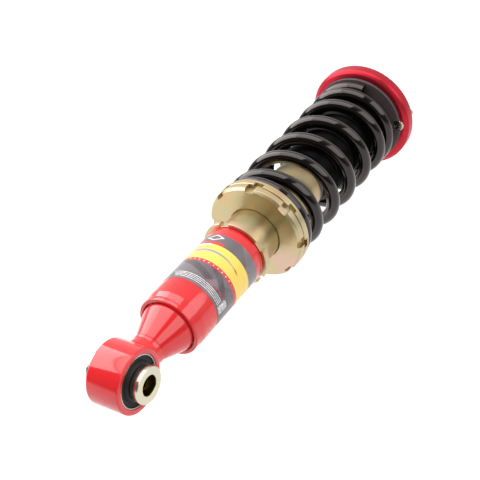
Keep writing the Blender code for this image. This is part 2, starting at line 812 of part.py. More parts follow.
def ball_arc(radius, first, last):
    """Points of a circle about the ball's centre, between two distances along the axis from it."""
    points = []
    for row in range(BALL_ROWS + 1):
        along = first + (last - first) * row / BALL_ROWS
        points.append((BALL_CENTRE_X + along, math.sqrt(radius * radius - along * along)))
    return points


def make_bearing(steel, chrome):
    """A spherical bearing: the race is hollowed to the ball's sphere, and the ball is cut off flat."""
    outer = PLATE_BORE - GAP
    half = (RACE_TOP_X - RACE_BOTTOM_X) / 2
    outline = [(RACE_BOTTOM_X, outer), (RACE_TOP_X, outer)] + ball_arc(BALL_RADIUS + GAP, half, -half)
    race = turned("bearing_race", outline, steel)
    half = BALL_HALF_LENGTH
    bore_ends = [(BALL_CENTRE_X + half, ROD_BORE), (BALL_CENTRE_X - half, ROD_BORE)]
    ball = turned("bearing_ball", ball_arc(BALL_RADIUS, -half, half) + bore_ends, chrome, X_AXIS, COARSE)
    low = RACE_TOP_X + GAP
    outline = ring_outline(low, low + CIRCLIP_THICKNESS, CIRCLIP_BORE, outer)
    clip = turned("bearing_circlip", outline, steel, X_AXIS, COARSE)
    return race, ball, clip


def make_rod_fastenings(zinc):
    """The spacer under the bearing's ball, and the washer and nut over it."""
    low = BUMP_TOP_X + GAP
    high = BALL_CENTRE_X - BALL_HALF_LENGTH - GAP
    outline = ring_outline(low, high, ROD_BORE, ROD_SPACER_RADIUS)
    spacer = turned("rod_spacer", outline, zinc, X_AXIS, COARSE)
    low = BALL_CENTRE_X + BALL_HALF_LENGTH + GAP
    high = low + WASHER_THICKNESS
    washer = turned("rod_washer", ring_outline(low, high, ROD_BORE, WASHER_RADIUS), zinc, X_AXIS, COARSE)
    nut = hex_nut("rod_nut", high + GAP, ROD_NUT_LENGTH, ROD_NUT_FLATS, ROD_BORE, zinc)
    return spacer, washer, nut


def make_knob(anodised):
    """The damping adjuster, with shallow grips round its side."""
    low = ROD_TOP_X + GAP
    high = low + KNOB_LENGTH
    outline = [
        (low, 0),
        (low, KNOB_RADIUS - SMALL_EDGE),
        (low + SMALL_EDGE, KNOB_RADIUS),
        (high - KNOB_TOP_EDGE, KNOB_RADIUS),
        (high, KNOB_RADIUS - KNOB_TOP_EDGE),
        (high, 0),
    ]
    knob = turned("damping_knob", outline, anodised)
    cut_notches(
        knob,
        KNOB_GRIPS,
        0.0,
        KNOB_GRIP_WIDTH,
        KNOB_RADIUS - SMALL_EDGE,
        KNOB_RADIUS,
        low + CUT_PAST,
        high + CUT_PAST,
    )
    return knob


def make_studs(zinc):
    seat = PLATE_BOTTOM_X - GAP
    head_bottom = seat - STUD_HEAD_HEIGHT
    outline = [
        (head_bottom, 0),
        (head_bottom, STUD_HEAD_RADIUS - SMALL_EDGE),
        (head_bottom + SMALL_EDGE, STUD_HEAD_RADIUS),
        (seat, STUD_HEAD_RADIUS),
        (seat, STUD_RADIUS),
        (STUD_TIP_X - EDGE, STUD_RADIUS),
        (STUD_TIP_X, STUD_RADIUS - EDGE),
        (STUD_TIP_X, 0),
    ]
    studs = []
    for number, move in enumerate(stud_moves(), 1):
        stud = turned(f"mount_stud_{number}", outline, zinc, X_AXIS, COARSE)
        stud.matrix_world = move
        studs.append(stud)
    return studs


# ---------------------------------------------------------------- assembly


def main():
    clear_scene()
    paint = make_material("red_powder_coat", (0.72, 0.02, 0.03), 0.22, 0.0)
    anodised = make_material("red_anodised", (0.50, 0.02, 0.04), 0.30, 0.9)
    plating = make_material("yellow_zinc", (0.62, 0.50, 0.28), 0.28, 1.0)
    zinc = make_material("pale_zinc", (0.70, 0.66, 0.55), 0.30, 1.0)
    enamel = make_material("black_enamel", (0.02, 0.02, 0.02), 0.20, 0.0)
    black = make_material("black_anodised", (0.03, 0.03, 0.03), 0.40, 0.4)
    plastic = make_material("black_plastic", (0.03, 0.03, 0.03), 0.50, 0.0)
    rubber = make_material("black_rubber", (0.03, 0.03, 0.03), 0.70, 0.0)
    foam = make_material("bump_foam", (0.55, 0.45, 0.22), 0.80, 0.0)
    steel = make_material("bare_steel", (0.45, 0.45, 0.46), 0.35, 1.0)
    chrome = make_material("hard_chrome", (0.80, 0.80, 0.82), 0.10, 1.0)
    aluminium = make_material("machined_aluminium", (0.75, 0.76, 0.78), 0.30, 1.0)
    vinyl = make_material("grey_vinyl", (0.22, 0.21, 0.24), 0.35, 0.0)

    lower_mount = add_empty("lower_mount_origin", 0.0)
    sleeve_origin = add_empty("sleeve_origin", 0.0, lower_mount)
    collar_origin = add_empty("collar_origin", SOCKET_TOP_X, lower_mount)
    tube_origin = add_empty("tube_origin", TUBE_BOTTOM_X, lower_mount)
    gas_origin = add_empty("gas_piston_origin", FLOATING_PISTON_X, tube_origin)
    spring_origin = add_empty("spring_origin", PERCH_FLANGE_TOP_X, tube_origin)
    perch_origin = add_empty("perch_origin", PERCH_X, spring_origin)
    lock_ring_origin = add_empty("lock_ring_origin", LOCK_RING_X, perch_origin)
    rod_origin = add_empty("rod_origin", ROD_BOTTOM_X, tube_origin)
    top_origin = add_empty("top_origin", BALL_CENTRE_X, rod_origin)
    knob_origin = add_empty("knob_origin", ROD_TOP_X, rod_origin)

    race, ball, clip = make_bearing(steel, chrome)
    groups = (
        (lower_mount, [make_eye_housing(paint), *make_bush(steel, rubber)]),
        (lower_mount, [make_cone(paint), make_socket(paint), make_label(vinyl)]),
        (sleeve_origin, make_sleeve(zinc)),
        (collar_origin, [make_collar(plating)]),
        (tube_origin, [make_tube(plating), *make_tube_ends(aluminium, rubber, black)]),
        (gas_origin, make_floating_piston(aluminium, rubber)),
        (spring_origin, [make_spring(enamel)]),
        (perch_origin, [make_perch(plating)]),
        (lock_ring_origin, [make_lock_ring(plating)]),
        (rod_origin, [make_rod(chrome), *make_piston(aluminium, steel, plastic)]),
        (rod_origin, [*make_rod_fastenings(zinc), ball, make_bump_stop(foam), make_boot(rubber)]),
        (knob_origin, [make_knob(anodised)]),
        (top_origin, [make_upper_seat(black), make_top_plate(anodised)]),
        (top_origin, [race, clip, *make_studs(zinc)]),
    )
    for parent, members in groups:
        for member in members:
            attach(member, parent)


main()
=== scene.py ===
"""Looks of a threaded-body coilover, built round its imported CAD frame.

+X runs up the damper from the lower eye, +Y along the eye's bolt, and +Z is up. Sizes are metres.
"""

import math

import bmesh
import bpy
from mathutils import Matrix, Vector


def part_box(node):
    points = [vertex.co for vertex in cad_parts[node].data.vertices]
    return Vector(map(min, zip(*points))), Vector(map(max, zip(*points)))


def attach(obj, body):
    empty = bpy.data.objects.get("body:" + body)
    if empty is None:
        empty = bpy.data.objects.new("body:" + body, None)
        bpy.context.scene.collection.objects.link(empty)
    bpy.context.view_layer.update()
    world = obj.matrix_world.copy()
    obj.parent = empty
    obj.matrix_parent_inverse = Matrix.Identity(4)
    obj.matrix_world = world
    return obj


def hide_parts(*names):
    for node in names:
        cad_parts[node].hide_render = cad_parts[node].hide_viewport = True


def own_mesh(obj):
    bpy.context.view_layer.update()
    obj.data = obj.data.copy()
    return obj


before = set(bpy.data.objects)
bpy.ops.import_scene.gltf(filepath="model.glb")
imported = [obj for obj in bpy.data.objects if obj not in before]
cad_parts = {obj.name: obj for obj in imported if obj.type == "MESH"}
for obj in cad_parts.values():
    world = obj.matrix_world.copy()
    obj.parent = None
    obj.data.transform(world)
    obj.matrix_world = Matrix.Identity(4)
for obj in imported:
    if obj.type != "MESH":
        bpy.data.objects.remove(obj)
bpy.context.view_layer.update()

MM = 0.001
TAU = 2 * math.pi
X_AXIS = Vector((1, 0, 0))
THREAD_BORE = 25.3 * MM
RING_STEPS = 160
WEAR_REACH = 0.6 * MM

# ---------------------------------------------------------------- node helpers


class Tree:
    """Short calls for a material's node tree."""

    def __init__(self, name):
        self.material = bpy.data.materials.new(name)
        self.material.use_nodes = True
        self.nodes = self.material.node_tree.nodes
        self.links = self.material.node_tree.links
        self.nodes.clear()
        output = self.nodes.new("ShaderNodeOutputMaterial")
        self.shader = self.nodes.new("ShaderNodeBsdfPrincipled")
        self.join(self.shader.outputs[0], output.inputs["Surface"])
        self.coordinates = self.nodes.new("ShaderNodeTexCoord").outputs["Object"]

    def join(self, source, target):
        self.links.new(source, target)

    def put(self, value, socket):
        """Links an output to a socket, or sets the socket to a plain value."""
        if isinstance(value, bpy.types.NodeSocket):
            self.join(value, socket)
        elif isinstance(value, tuple) and len(value) == 3 and socket.type == "RGBA":
            socket.default_value = (*value, 1.0)
        else:
            socket.default_value = value

    def set(self, **values):
        for name, value in values.items():
            self.put(value, self.shader.inputs[name.replace("_", " ")])

    def math(self, operation, first, second=0.0, third=0.0, clamp=False):
        node = self.nodes.new("ShaderNodeMath")
        node.operation = operation
        node.use_clamp = clamp
        for value, socket in zip((first, second, third), node.inputs):
            self.put(value, socket)
        return node.outputs[0]

    def mix(self, share, first, second):
        node = self.nodes.new("ShaderNodeMix")
        node.data_type = "RGBA"
        self.put(share, node.inputs["Factor"])
        self.put(first, node.inputs["A"])
        self.put(second, node.inputs["B"])
        return node.outputs["Result"]

    def noise(self, scale, detail=3.0, roughness=0.5, stretch=None):
        node = self.nodes.new("ShaderNodeTexNoise")
        node.inputs["Scale"].default_value = scale
        node.inputs["Detail"].default_value = detail
        node.inputs["Roughness"].default_value = roughness
        self.join(self.stretched(stretch) if stretch else self.coordinates, node.inputs["Vector"])
        return node.outputs["Fac"]

    def stretched(self, stretch):
        node = self.nodes.new("ShaderNodeMapping")
        node.inputs["Scale"].default_value = stretch
        self.join(self.coordinates, node.inputs["Vector"])
        return node.outputs[0]

    def ramp(self, value, low, high):
        """0 up to low, 1 from high on."""
        node = self.nodes.new("ShaderNodeMapRange")
        node.interpolation_type = "SMOOTHSTEP"
        self.put(value, node.inputs["Value"])
        node.inputs["From Min"].default_value = low
        node.inputs["From Max"].default_value = high
        return node.outputs[0]

    def spread(self, value, low, high):
        """A 0 to 1 value as a number from low to high."""
        return self.math("MULTIPLY_ADD", value, high - low, low)

    def bump(self, height, strength, distance):
        node = self.nodes.new("ShaderNodeBump")
        node.inputs["Strength"].default_value = strength
        node.inputs["Distance"].default_value = distance
        self.join(height, node.inputs["Height"])
        return node.outputs[0]

    def worn_edges(self, most):
        """0 on flats, and up to most along the edges, broken up by a noise."""
        bent = self.nodes.new("ShaderNodeBevel")
        bent.samples = 6
        bent.inputs["Radius"].default_value = WEAR_REACH
        plain = self.nodes.new("ShaderNodeNewGeometry").outputs["Normal"]
        dot = self.nodes.new("ShaderNodeVectorMath")
        dot.operation = "DOT_PRODUCT"
        self.join(bent.outputs[0], dot.inputs[0])
        self.join(plain, dot.inputs[1])
        edge = self.ramp(self.math("SUBTRACT", 1.0, dot.outputs["Value"]), 0.01, 0.12)
        patchy = self.ramp(self.noise(310.0, 4.0, 0.7), 0.40, 0.62)
        return self.math("MULTIPLY", self.math("MULTIPLY", edge, patchy), most)

    def place(self):
        """The three object coordinates."""
        node = self.nodes.new("ShaderNodeSeparateXYZ")
        self.join(self.coordinates, node.inputs[0])
        return node.outputs

    def length(self, first, second):
        squared = self.math("MULTIPLY", first, first)
        return self.math("SQRT", self.math("ADD", squared, self.math("MULTIPLY", second, second)))

    def about_axis(self):
        """(distance along X, radius from it, angle about it in turns from 0 at +Y)."""
        x, y, z = self.place()
        angle = self.math("DIVIDE", self.math("ARCTAN2", z, y), TAU)
        return x, self.length(y, z), self.math("FRACT", self.math("ADD", angle, 1.0))

    def turning_lines(self, frequency):
        """Fine rings about X, as a lathe leaves them on flat faces and on round ones."""
        x, radius, _ = self.about_axis()
        return self.math("SINE", self.math("MULTIPLY", self.math("ADD", radius, x), frequency))


# ---------------------------------------------------------------- materials

# Darker olive painted inside zinc bores as painted shade
BORE_SHADE_OLIVE = (0.30, 0.24, 0.035)
BARE_ZINC = (0.80, 0.74, 0.62)


def paint_material():
    """Glossy red powder coat, with a faint orange peel."""
    tree = Tree("red_powder_coat")
    patches = tree.noise(38.0, 2.0)
    color = tree.mix(patches, (0.64, 0.019, 0.022), (0.58, 0.015, 0.018))
    worn = tree.worn_edges(0.30)
    color = tree.mix(worn, color, (0.66, 0.085, 0.085))
    peel = tree.noise(420.0, 2.0)
    fine = tree.noise(2600.0, 1.0)
    height = tree.math("ADD", peel, tree.math("MULTIPLY", fine, 0.25))
    gloss = tree.spread(tree.noise(90.0), 0.08, 0.13)
    tree.set(
        Base_Color=color,
        Roughness=tree.math("ADD", gloss, tree.math("MULTIPLY", worn, 0.5)),
        Coat_Weight=0.30,
        Coat_Roughness=0.04,
        Normal=tree.bump(height, 0.07, 0.00006),
    )
    return tree.material


def anodised_material():
    """Satin red anodised aluminium, with the turning lines just showing."""
    tree = Tree("red_anodised")
    lines = tree.turning_lines(14000.0)
    grain = tree.noise(900.0, 2.0)
    color = tree.mix(tree.noise(26.0), (0.53, 0.024, 0.040), (0.43, 0.014, 0.028))
    worn = tree.worn_edges(0.45)
    color = tree.mix(worn, color, (0.72, 0.30, 0.32))
    height = tree.math("ADD", tree.math("MULTIPLY", lines, 0.3), grain)
    tree.set(
        Base_Color=color,
        Metallic=0.85,
        Roughness=tree.spread(grain, 0.30, 0.40),
        Normal=tree.bump(height, 0.08, 0.00005),
    )
    return tree.material


def zinc_material(name, warm, cool, rosy, roughness, tint, bore=None):
    """Zinc plate: its thin film drifts between gold, green and pink, over fine turning lines.

    A bore is the radius of a hole along Y, whose inside is painted a darker olive as painted shade.
    """
    tree = Tree(name)
    film = tree.noise(34.0, 3.0, 0.55)
    second = tree.noise(21.0, 2.0, 0.6, (1.0, 1.7, 0.8))
    color = tree.mix(tree.ramp(film, 0.38, 0.62), warm, cool)
    color = tree.mix(tree.math("MULTIPLY", tree.ramp(second, 0.48, 0.70), tint), color, rosy)
    lines = tree.turning_lines(11000.0)
    grain = tree.noise(700.0, 3.0, 0.6)
    height = tree.math("ADD", tree.math("MULTIPLY", lines, 0.35), grain)
    if bore:
        # Painted shade: the inside of the bore is darkened to olive.
        x, _, z = tree.place()
        bore_shade = tree.ramp(tree.length(x, z), bore + 0.0006, bore + 0.0001)
        color = tree.mix(bore_shade, color, BORE_SHADE_OLIVE)
    worn = tree.worn_edges(0.60)
    color = tree.mix(worn, color, BARE_ZINC)
    haze = tree.spread(tree.noise(55.0, 4.0), roughness - 0.03, roughness + 0.06)
    tree.set(
        Base_Color=color,
        Metallic=1.0,
        Roughness=tree.math("ADD", haze, tree.math("MULTIPLY", worn, 0.12)),
        Normal=tree.bump(height, 0.025, 0.00003),
    )
    return tree.material


def enamel_material():
    """Gloss black enamel on the spring."""
    tree = Tree("black_enamel")
    peel = tree.noise(260.0, 2.0)
    color = tree.mix(tree.noise(40.0), (0.0030, 0.0020, 0.0020), (0.0015, 0.0010, 0.0010))
    worn = tree.worn_edges(0.5)
    color = tree.mix(worn, color, (0.030, 0.026, 0.025))
    tree.set(
        Base_Color=color,
        Roughness=tree.spread(tree.noise(120.0), 0.08, 0.12),
        Specular_Tint=(1.0, 0.86, 0.84),
        Coat_Weight=0.20,
        Coat_Roughness=0.06,
        Normal=tree.bump(peel, 0.12, 0.00010),
    )
    return tree.material


def dark_material(name, color, roughness, grain_scale=500.0, strength=0.2, specular=0.5):
    """Dull black or coloured stock with a fine grain, for rubber, plastic, foam and black anodising."""
    tree = Tree(name)
    grain = tree.noise(grain_scale, 4.0, 0.6)
    darker = tuple(channel * 0.65 for channel in color)
    lighter = tuple(min(1.0, channel * 2.2 + 0.01) for channel in color)
    shade = tree.mix(tree.noise(60.0), color, darker)
    tree.set(
        Base_Color=tree.mix(tree.worn_edges(0.55), shade, lighter),
        Specular_IOR_Level=specular,
        Roughness=tree.spread(grain, roughness - 0.06, roughness + 0.08),
        Normal=tree.bump(grain, strength, 0.00008),
    )
    return tree.material


def metal_material(name, color, roughness):
    """Turned metal with fine lines round the axis."""
    tree = Tree(name)
    lines = tree.turning_lines(9000.0)
    grain = tree.noise(650.0, 3.0)
    darker = tuple(channel * 0.82 for channel in color)
    lighter = tuple(min(1.0, channel * 1.25) for channel in color)
    shade = tree.mix(tree.noise(45.0), color, darker)
    tree.set(
        Base_Color=tree.mix(tree.worn_edges(0.7), shade, lighter),
        Metallic=1.0,
        Roughness=tree.spread(grain, roughness - 0.04, roughness + 0.06),
        Normal=tree.bump(tree.math("ADD", lines, grain), 0.06, 0.00004),
    )
    return tree.material


# ---------------------------------------------------------------- label

LABEL_LOW, LABEL_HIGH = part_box("label_wrap")
LABEL_SPREAD = (-40.0, 205.0)

GREY = (0.118, 0.096, 0.104)
LIGHT_GREY = (0.158, 0.134, 0.144)
MIDDLE_GREY = tuple(0.5 * (first + second) for first, second in zip(GREY, LIGHT_GREY))
DARK_GREY = (0.076, 0.062, 0.068)
YELLOW = (0.80, 0.56, 0.090)
RED = (0.58, 0.028, 0.034)
WHITE = (0.78, 0.77, 0.78)
BRIGHT_WHITE = (0.88, 0.85, 0.87)
SILVER = (0.30, 0.26, 0.28)
SCUFFED = (0.42, 0.40, 0.40)

# Where one stripe of the label ends and the next starts, in millimetres of X
DASHED_START = 114.3
BAND_START = 117.9
BAND_END = 138.0
BAR_END = 141.6
SEAM = 0.1

# Folded shapes of the lower field: lean in millimetres a degree, first and last place, softness, ink
FOLDS = (
    (0.20, 70.0, 130.6, 0.5, MIDDLE_GREY),
    (0.20, 124.0, 130.6, 0.5, DARK_GREY),
    (-0.55, 24.0, 33.0, 1.2, LIGHT_GREY),
    (0.34, 153.0, 160.5, 0.6, DARK_GREY),
)


class Sheet:
    """Inks laid one over another. Along is millimetres of X, and around is degrees from +Y."""

    def __init__(self, tree, ground):
        self.tree = tree
        self.color = ground
        x, _, turn = tree.about_axis()
        self.along = tree.math("MULTIPLY", x, 1000.0)
        degrees = tree.math("MULTIPLY", turn, 360.0)
        wrapped = tree.math("GREATER_THAN", degrees, 300.0)
        self.around = tree.math("SUBTRACT", degrees, tree.math("MULTIPLY", wrapped, 360.0))

    def inside(self, value, low, high, soft=0.12):
        """1 where the value lies between low and high."""
        up = self.tree.ramp(value, low - soft, low + soft)
        down = self.tree.ramp(value, high - soft, high + soft)
        return self.tree.math("SUBTRACT", up, down, clamp=True)

    def both(self, first, second):
        return self.tree.math("MULTIPLY", first, second)

    def away(self, value, centre):
        """The distance of a value from a centre."""
        return self.tree.math("ABSOLUTE", self.tree.math("SUBTRACT", value, centre))

    def lean(self, amount):
        """Distance along, leaned by an angle round the damper."""
        return self.tree.math("ADD", self.along, self.tree.math("MULTIPLY", self.around, amount))

    def repeat(self, value, period):
        """0 to 1 over each period of the value."""
        return self.tree.math("FRACT", self.tree.math("DIVIDE", value, period))

    def lay(self, mask, ink):
        self.color = self.tree.mix(mask, self.color, ink)


def print_fields(sheet):
    """Folded-paper shapes on the lower grey field, and one lighter corner on the upper one."""
    lower = sheet.inside(sheet.along, 90.0, DASHED_START + SEAM)
    for amount, low, high, soft, ink in FOLDS:
        sheet.lay(sheet.both(lower, sheet.inside(sheet.lean(amount), low, high, soft)), ink)
    upper = sheet.inside(sheet.along, BAND_END - SEAM, 152.0)
    sheet.lay(sheet.both(upper, sheet.inside(sheet.lean(0.42), 205.5, 260.0, 0.5)), LIGHT_GREY)


def print_band(sheet):
    """The yellow band, with a silver swoosh that narrows towards its dark tip and swells just before it."""
    tree, around = sheet.tree, sheet.around
    sheet.lay(sheet.inside(sheet.along, BAND_START, BAND_END), YELLOW)
    sweep = tree.math("DIVIDE", tree.math("SUBTRACT", around, 102.0), 48.0)
    sag = tree.math("MULTIPLY", sheet.both(sweep, sweep), 2.3)
    centre = tree.math("SUBTRACT", 129.8, sag)
    half_width = tree.math("MULTIPLY", tree.ramp(around, 172.0, 70.0), 1.7)
    swelling = tree.math("MULTIPLY", sheet.inside(around, 146.0, 154.0, 4.0), 0.45)
    half_width = tree.math("ADD", half_width, swelling)
    swoosh = tree.ramp(tree.math("SUBTRACT", half_width, sheet.away(sheet.along, centre)), -0.15, 0.15)
    swoosh = sheet.both(swoosh, tree.ramp(around, 159.0, 155.0))
    sheet.lay(swoosh, tree.mix(tree.ramp(around, 130.0, 152.0), SILVER, DARK_GREY))


def print_rules(sheet):
    """Red rules: a dashed one under the band, and one over it that stops part of the way round."""
    along, around = sheet.along, sheet.around
    sheet.lay(sheet.inside(along, DASHED_START, BAND_START), RED)
    dash = sheet.inside(sheet.repeat(around, 9.2), 0.36, 0.62, 0.08)
    dashes = sheet.both(dash, sheet.inside(along, 115.6, 116.7))
    dashes = sheet.both(dashes, sheet.inside(around, 62.0, 160.0, 1.0))
    sheet.lay(sheet.tree.math("MULTIPLY", dashes, 0.75), WHITE)
    bar = sheet.inside(along, BAND_END, BAR_END)
    sheet.lay(sheet.both(bar, sheet.inside(around, -40.0, 105.0, 0.8)), RED)
    pale_bar = sheet.inside(along, 136.6, 138.2)
    sheet.lay(sheet.both(pale_bar, sheet.inside(around, -40.0, 84.0, 3.0)), WHITE)


def print_diamond(sheet):
    """A plain hollow diamond."""
    across = sheet.tree.math("DIVIDE", sheet.away(sheet.lean(-0.05), 143.0), 3.9)
    round_it = sheet.tree.math("DIVIDE", sheet.away(sheet.around, 80.0), 17.0)
    sheet.lay(sheet.inside(sheet.tree.math("ADD", across, round_it), 0.76, 1.0, 0.06), WHITE)


def print_lines(sheet):
    """Four thin white lines, a little broken, on a darker ground."""
    tree, along, around = sheet.tree, sheet.along, sheet.around
    low, high, pitch = 91.9, 98.8, 1.72
    last = tree.ramp(around, 167.0, 166.0)
    ground = sheet.inside(along, low, high)
    stripe = sheet.repeat(tree.math("SUBTRACT", along, low), pitch)
    lines = sheet.both(sheet.inside(stripe, 0.32, 0.66, 0.10), ground)
    starts = tree.math("ADD", tree.math("MULTIPLY", along, -1.5), 208.0)
    lines = sheet.both(lines, tree.ramp(tree.math("SUBTRACT", around, starts), -1.0, 1.0))
    lines = sheet.both(lines, last)
    breaks = tree.ramp(tree.noise(900.0, 1.0), 0.35, 0.55)
    sheet.lay(sheet.both(ground, last), DARK_GREY)
    sheet.lay(sheet.both(lines, tree.spread(breaks, 0.45, 1.0)), BRIGHT_WHITE)


def print_block(sheet):
    """A light block of random cells, 0.62 mm by 1.25 degrees each."""
    tree = sheet.tree
    cells = tree.nodes.new("ShaderNodeTexWhiteNoise")
    cells.noise_dimensions = "2D"
    grid = tree.nodes.new("ShaderNodeCombineXYZ")
    for value, size, socket in ((sheet.along, 0.62, grid.inputs[0]), (sheet.around, 1.25, grid.inputs[1])):
        tree.join(tree.math("FLOOR", tree.math("DIVIDE", value, size)), socket)
    tree.join(grid.outputs[0], cells.inputs["Vector"])
    block = sheet.both(sheet.inside(sheet.along, 91.4, 103.0), sheet.inside(sheet.around, 169.0, 184.0, 0.5))
    speckle = tree.math("GREATER_THAN", cells.outputs["Value"], 0.45)
    sheet.lay(sheet.both(block, tree.spread(speckle, 0.15, 0.85)), WHITE)


def print_chips(sheet):
    """A row of small red chips."""
    tree, along, around = sheet.tree, sheet.along, sheet.around
    leaned = tree.math("ADD", around, tree.math("MULTIPLY", along, 1.6))
    chip = sheet.inside(sheet.repeat(leaned, 12.0), 0.20, 0.62, 0.10)
    row = sheet.both(sheet.inside(along, 100.0, 102.0, 0.3), sheet.inside(around, 121.0, 167.0, 0.8))
    sheet.lay(tree.math("MULTIPLY", sheet.both(row, chip), 0.75), RED)


def wear_ends(sheet):
    """Scuffs along the label's two ends."""
    tree = sheet.tree
    scuffs = tree.ramp(tree.noise(120.0, 5.0, 0.75, (1.0, 0.35, 0.35)), 0.63, 0.75)
    ends = tree.math("SUBTRACT", 1.0, sheet.inside(sheet.along, 90.2, 150.8, 0.5))
    sheet.lay(tree.math("MULTIPLY", sheet.both(ends, scuffs), 0.7), SCUFFED)


LABEL_LAYERS = (
    print_fields,
    print_band,
    print_rules,
    print_diamond,
    print_lines,
    print_block,
    print_chips,
    wear_ends,
)


def label_material():
    """Printed vinyl: grey fields, a yellow band with a swoosh, rules, and plain marks."""
    tree = Tree("grey_vinyl")
    sheet = Sheet(tree, GREY)
    for layer in LABEL_LAYERS:
        layer(sheet)
    tree.set(
        Base_Color=sheet.color,
        Roughness=tree.spread(tree.noise(300.0), 0.24, 0.34),
        Coat_Weight=0.25,
        Coat_Roughness=0.12,
        Normal=tree.bump(tree.noise(500.0), 0.05, 0.00005),
    )
    return tree.material


# ---------------------------------------------------------------- finishes in use

PAINT = paint_material()
ANODISED = anodised_material()
YELLOW_ZINC = zinc_material(
    "yellow_zinc",
    warm=(0.59, 0.435, 0.235),
    cool=(0.51, 0.45, 0.27),
    rosy=(0.61, 0.41, 0.33),
    roughness=0.30,
    tint=0.9,
)
PALE_ZINC = zinc_material(
    "pale_zinc",
    warm=(0.68, 0.61, 0.47),
    cool=(0.60, 0.60, 0.48),
    rosy=(0.70, 0.57, 0.50),
    roughness=0.24,
    tint=0.3,
    bore=8.3 * MM,
)
ENAMEL = enamel_material()
LABEL = label_material()
RUBBER = dark_material("black_rubber", (0.014, 0.014, 0.013), 0.50, specular=0.3)
BOOT_RUBBER = dark_material("boot_rubber", (0.0022, 0.0018, 0.0018), 0.38, specular=0.06)
PLASTIC = dark_material("black_plastic", (0.020, 0.020, 0.020), 0.45)
FOAM = dark_material("bump_foam", (0.52, 0.42, 0.20), 0.80, 1400.0, 0.6)
BLACK = dark_material("black_anodised", (0.078, 0.060, 0.062), 0.42, 800.0, 0.1)
STEEL = metal_material("bare_steel", (0.56, 0.55, 0.54), 0.26)
CHROME = metal_material("hard_chrome", (0.80, 0.80, 0.82), 0.10)
ALUMINIUM = metal_material("machined_aluminium", (0.78, 0.79, 0.80), 0.26)

# ---------------------------------------------------------------- shape helpers


def finish_mesh(name, shape, material, smooth_angle=30.0):
    bmesh.ops.remove_doubles(shape, verts=shape.verts, dist=1e-7)
    bmesh.ops.recalc_face_normals(shape, faces=shape.faces)
    mesh = bpy.data.meshes.new(name)
    shape.to_mesh(mesh)
    shape.free()
    mesh.materials.append(material)
    mesh.shade_smooth()
    mesh.set_sharp_from_angle(angle=math.radians(smooth_angle))
    made = bpy.data.objects.new(name, mesh)
    bpy.context.collection.objects.link(made)
    return made


def add_bevel(made, width):
    """Rounds the edges that turn by more than 30 degrees, and leaves the small steps of arcs as they are."""
    modifier = made.modifiers.new("edges", "BEVEL")
    modifier.width = width
    modifier.segments = 2
    modifier.limit_method = "ANGLE"
    modifier.angle_limit = math.radians(30.0)
    modifier.harden_normals = True
    modifier.use_clamp_overlap = True


def apply_modifiers(made):
    """Makes the piece's modifiers part of its mesh."""
    graph = bpy.context.evaluated_depsgraph_get()
    mesh = bpy.data.meshes.new_from_object(made.evaluated_get(graph))
    made.modifiers.clear()
    made.data = mesh
    mesh.shade_smooth()
    mesh.set_sharp_from_angle(angle=math.radians(35))


def on_body(made, body, slot, *nodes):
    """Puts a piece on its CAD body, in place of the CAD nodes that it stands for."""
    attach(made, body)
    if nodes:
        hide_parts(*nodes)


def pipe(low, high, bore, radius):
    """The outline of a plain pipe."""
    return [(low, bore), (low, radius), (high, radius), (high, bore)]


def rounded(outline, sizes, steps):
    """An outline with its corners rounded. Sizes says how far back each corner's arc starts, 0 for sharp."""
    result = []
    count = len(outline)
    for index, (corner, size) in enumerate(zip(outline, sizes, strict=True)):
        here = Vector(corner)
        if size == 0.0:
            result.append(tuple(here))
            continue
        before = Vector(outline[index - 1]) - here
        after = Vector(outline[(index + 1) % count]) - here
        back = min(size, before.length * 0.49, after.length * 0.49)
        start = here + before.normalized() * back
        end = here + after.normalized() * back
        for step in range(steps + 1):
            share = step / steps
            place = start * (1 - share) ** 2 + here * 2 * share * (1 - share) + end * share**2
            result.append(tuple(place))
    return result


def turned(name, outline, material, axis, segments, closed=True, smooth_angle=30.0):
    """Turns an outline of (along, radius) points round the X or Y axis."""
    shape = bmesh.new()
    rings = []
    for along, radius in outline:
        if radius < 1e-9:
            centre = (along, 0, 0) if axis == "X" else (0, along, 0)
            rings.append([shape.verts.new(centre)] * segments)
            continue
        ring = []
        for step in range(segments):
            angle = TAU * step / segments
            across, up = radius * math.cos(angle), radius * math.sin(angle)
            ring.append(shape.verts.new((along, across, up) if axis == "X" else (up, along, across)))
        rings.append(ring)
    pairs = list(zip(rings, rings[1:]))
    if closed:
        pairs.append((rings[-1], rings[0]))
    for near, far in pairs:
        for step in range(segments):
            after = (step + 1) % segments
            corners = [near[step], near[after], far[after], far[step]]
            unique = list(dict.fromkeys(corners))
            if len(unique) > 2:
                shape.faces.new(unique)
    return finish_mesh(name, shape, material, smooth_angle)


